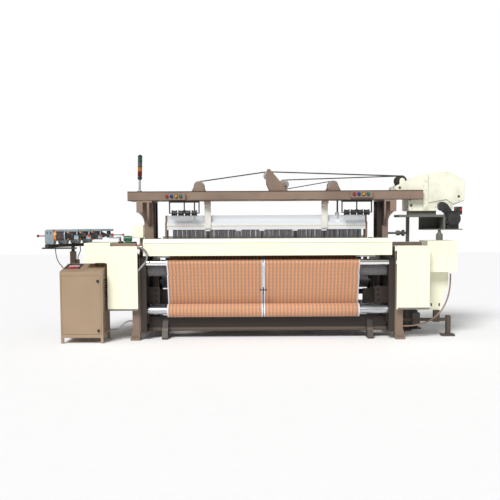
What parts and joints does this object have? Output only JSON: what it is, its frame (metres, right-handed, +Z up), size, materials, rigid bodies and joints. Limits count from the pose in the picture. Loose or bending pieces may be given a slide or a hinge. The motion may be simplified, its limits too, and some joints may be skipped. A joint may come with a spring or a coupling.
{
  "type": "power loom",
  "caption": "Rapier power loom with cast side frames, top dobby, heald frames, reed, rollers, control cabinet and weft feeders.",
  "frame": {"origin": "on the floor, midway between the four anchor holes of the side frames' feet", "axes": "+X to the right as seen from the weaver's side, +Y from the cloth side to the warp side, +Z up"},
  "size_m": [4.275, 1.8378, 1.839],
  "materials": {
    "frame_paint": "satin brown paint on cast iron and steel",
    "cover_paint": "satin cream paint on sheet metal",
    "arch_paint": "satin brown paint",
    "motor_paint": "satin black paint",
    "dobby_paint": "satin cream-grey paint on cast iron",
    "stand_paint": "satin brown paint",
    "cabinet_paint": "satin tan paint on sheet steel",
    "feeder_paint": "satin blue-grey paint",
    "selector_paint": "satin green paint",
    "rail_metal": "drawn aluminium heald rails",
    "plain_steel": "plain steel",
    "chromed": "polished chrome",
    "black_plastic": "matte black plastic",
    "red_plastic": "gloss red plastic",
    "lamp_plastic": "gloss coloured lenses",
    "grey_rubber": "rough grey covering",
    "brown_hose": "matte brown corrugated hose",
    "grey_hose": "matte grey hose",
    "cable_cord": "black coated harness cable",
    "cloth": "plain cotton cloth, terracotta with grey-blue stripes",
    "warp": "cotton warp threads"
  },
  "bodies": {
    "machine": {"left_side_frame": "frame_paint", "right_side_frame": "frame_paint", "front_girt": "frame_paint", "rear_girt": "frame_paint", "breast_beam": "frame_paint", "breast_cover": "cover_paint", "left_arch": "arch_paint", "right_arch": "arch_paint", "top_beams": "arch_paint", "harness_cables": "cable_cord", "pulley_brackets": "dobby_paint", "cloth_sheet": "cloth", "warp_sheet": "warp", "warp_stop_motion": "plain_steel", "main_motor": "motor_paint", "left_cover": "cover_paint", "right_covers": "cover_paint", "dobby_housing": "dobby_paint", "dobby_stand": "stand_paint", "dobby_motor": "motor_paint", "signal_tower": "lamp_plastic", "button_boxes": "black_plastic", "cabinet_shell": "cabinet_paint", "brown_conduit": "brown_hose", "cabinet_cables": "grey_hose", "weft_feeders": "feeder_paint", "feeder_stand": "stand_paint", "weft_selector": "selector_paint", "selvedge_creels": "plain_steel"},
    "sley": {"sley_beam": "rail_metal", "reed": "plain_steel"},
    "odd_healds": {"odd_heald_frames": "rail_metal", "odd_drop_cables": "cable_cord"},
    "even_healds": {"even_heald_frames": "rail_metal", "even_drop_cables": "cable_cord"},
    "odd_jacks": {"odd_dobby_jacks": "plain_steel"},
    "even_jacks": {"even_dobby_jacks": "plain_steel"},
    "left_sheave_stack": {"left_sheaves": "black_plastic"},
    "right_sheave_stack": {"right_sheaves": "black_plastic"},
    "upper_sheave_stack": {"upper_sheaves": "black_plastic"},
    "lower_sheave_stack": {"lower_sheaves": "black_plastic"},
    "guide": {"guide_roller": "chromed"},
    "take_up": {"take_up_roller": "grey_rubber"},
    "rest": {"back_rest": "chromed"},
    "cloth_take_up": {"cloth_roller": "plain_steel", "cloth_roll": "cloth"},
    "beam": {"warp_beam": "warp"},
    "shaft": {"main_shaft": "plain_steel"},
    "left_wheel": {"left_rapier_wheel": "rail_metal"},
    "right_wheel": {"right_rapier_wheel": "rail_metal"},
    "left_rapier": {"left_gripper": "plain_steel", "left_tape": "black_plastic"},
    "right_rapier": {"right_gripper": "plain_steel", "right_tape": "black_plastic"},
    "lever": {"start_lever": "plain_steel"},
    "door": {"cabinet_door": "cabinet_paint"},
    "top_latch": {"upper_latch": "black_plastic"},
    "low_latch": {"lower_latch": "black_plastic"},
    "front_push": {"front_button": "red_plastic"},
    "back_push": {"back_button": "red_plastic"}
  },
  "joints": [
    {"name": "sley_swing", "type": "hinge", "parent": "machine", "child": "sley", "pos_m": [0, -0.169, 0.3], "axis": [-1, 0, 0], "range_deg": [-9, 0]},
    {"name": "odd_healds_lift", "type": "slide", "parent": "machine", "child": "odd_healds", "axis": [0, 0, 1], "range_m": [0, 0.07], "deforming": ["odd_drop_cables"]},
    {"name": "even_healds_lift", "type": "slide", "parent": "machine", "child": "even_healds", "axis": [0, 0, 1], "range_m": [-0.07, 0], "deforming": ["even_drop_cables"]},
    {"name": "odd_jacks_turn", "type": "hinge", "parent": "machine", "child": "odd_jacks", "pos_m": [1.4, 0, 1.566], "axis": [0, 1, 0], "range_deg": [-0.5, 77.9]},
    {"name": "even_jacks_turn", "type": "hinge", "parent": "machine", "child": "even_jacks", "pos_m": [1.4, 0, 1.566], "axis": [0, 1, 0], "range_deg": [-77.9, 0.5]},
    {"name": "left_sheaves_spin", "type": "hinge", "parent": "machine", "child": "left_sheave_stack", "pos_m": [-0.695, 0, 1.518], "axis": [0, 1, 0], "continuous": true},
    {"name": "right_sheaves_spin", "type": "hinge", "parent": "machine", "child": "right_sheave_stack", "pos_m": [0.695, 0, 1.518], "axis": [0, 1, 0], "continuous": true},
    {"name": "upper_sheaves_spin", "type": "hinge", "parent": "machine", "child": "upper_sheave_stack", "pos_m": [0.017, 0, 1.63], "axis": [0, 1, 0], "continuous": true},
    {"name": "lower_sheaves_spin", "type": "hinge", "parent": "machine", "child": "lower_sheave_stack", "pos_m": [0.185, 0, 1.534], "axis": [0, 1, 0], "continuous": true},
    {"name": "guide_roller_spin", "type": "hinge", "parent": "machine", "child": "guide", "pos_m": [0, -0.624, 0.752], "axis": [1, 0, 0], "continuous": true},
    {"name": "take_up_roller_spin", "type": "hinge", "parent": "machine", "child": "take_up", "pos_m": [0, -0.484, 0.684], "axis": [1, 0, 0], "continuous": true},
    {"name": "back_rest_spin", "type": "hinge", "parent": "machine", "child": "rest", "pos_m": [0, 0.776, 0.93], "axis": [1, 0, 0], "continuous": true},
    {"name": "cloth_roller_spin", "type": "hinge", "parent": "machine", "child": "cloth_take_up", "pos_m": [0, -0.564, 0.28], "axis": [1, 0, 0], "continuous": true},
    {"name": "warp_beam_spin", "type": "hinge", "parent": "machine", "child": "beam", "pos_m": [0, 0.646, 0.47], "axis": [1, 0, 0], "continuous": true},
    {"name": "main_shaft_spin", "type": "hinge", "parent": "machine", "child": "shaft", "pos_m": [0, 0.106, 0.4], "axis": [1, 0, 0], "continuous": true},
    {"name": "left_wheel_turn", "type": "hinge", "parent": "machine", "child": "left_wheel", "pos_m": [-1.5, -0.209, 0.655], "axis": [0, 1, 0], "range_deg": [0, 220]},
    {"name": "right_wheel_turn", "type": "hinge", "parent": "machine", "child": "right_wheel", "pos_m": [1.5, -0.209, 0.655], "axis": [0, -1, 0], "range_deg": [0, 220]},
    {"name": "left_rapier_travel", "type": "slide", "parent": "machine", "child": "left_rapier", "axis": [1, 0, 0], "range_m": [0, 0.965], "deforming": ["left_tape"]},
    {"name": "right_rapier_travel", "type": "slide", "parent": "machine", "child": "right_rapier", "axis": [-1, 0, 0], "range_m": [0, 0.965], "deforming": ["right_tape"]},
    {"name": "start_lever_push", "type": "hinge", "parent": "machine", "child": "lever", "pos_m": [-1.215, -0.726, 0.913], "axis": [-1, 0, 0], "range_deg": [0, 25]},
    {"name": "cabinet_door_swing", "type": "hinge", "parent": "machine", "child": "door", "pos_m": [-1.954, -0.831, 0.3675], "axis": [0, 0, -1], "range_deg": [0, 110]},
    {"name": "upper_latch_turn", "type": "hinge", "parent": "door", "child": "top_latch", "pos_m": [-1.612, -0.834, 0.594], "axis": [0, 1, 0], "range_deg": [0, 90]},
    {"name": "lower_latch_turn", "type": "hinge", "parent": "door", "child": "low_latch", "pos_m": [-1.612, -0.834, 0.122], "axis": [0, 1, 0], "range_deg": [0, 90]},
    {"name": "front_button_press", "type": "slide", "parent": "machine", "child": "front_push", "axis": [0, 0.1662, -0.9861], "range_m": [0, 0.003], "stiffness_N_per_m": 600, "springref_m": -0.001},
    {"name": "back_button_press", "type": "slide", "parent": "machine", "child": "back_push", "axis": [0, 0.1662, -0.9861], "range_m": [0, 0.003], "stiffness_N_per_m": 600, "springref_m": -0.001}
  ],
  "couplings": [
    {"joint": "odd_jacks_turn", "follows": "odd_healds_lift", "rad_per_m": 19.305},
    {"joint": "even_jacks_turn", "follows": "even_healds_lift", "rad_per_m": 19.305},
    {"joint": "left_rapier_travel", "follows": "left_wheel_turn", "m_per_rad": 0.25},
    {"joint": "right_rapier_travel", "follows": "right_wheel_turn", "m_per_rad": 0.25}
  ]
}
